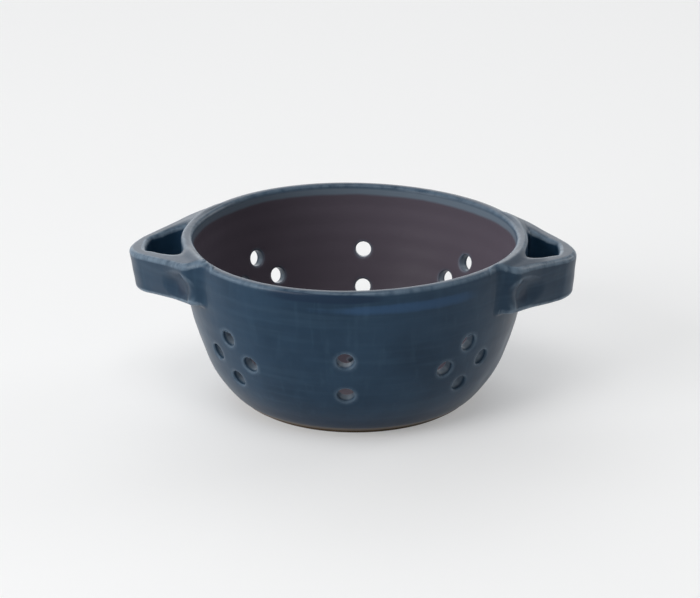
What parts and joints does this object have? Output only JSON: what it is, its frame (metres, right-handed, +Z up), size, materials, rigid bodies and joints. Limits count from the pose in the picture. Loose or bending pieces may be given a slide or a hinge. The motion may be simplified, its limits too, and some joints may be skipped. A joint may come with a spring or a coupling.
{
  "type": "berry colander bowl",
  "caption": "Small round glazed stoneware colander bowl with punched drain holes, a looped lug handle on each side of the rim and a bare clay foot ring.",
  "frame": {"origin": "on the table under the bowl's axis, in the plane of the foot", "axes": "+Z up along the bowl's axis, handles on -X and +X, -Y towards the viewer of the picture"},
  "size_m": [0.1666, 0.1274, 0.062],
  "materials": {
    "blue_glaze": "satin slate-blue glaze, plum brown inside the bowl, thin and pale on edges",
    "bare_clay": "unglazed brown stoneware, fine grain"
  },
  "bodies": {
    "root": {"bowl_body": "blue_glaze", "foot_ring": "bare_clay", "left_handle": "blue_glaze", "right_handle": "blue_glaze"}
  },
  "joints": []
}
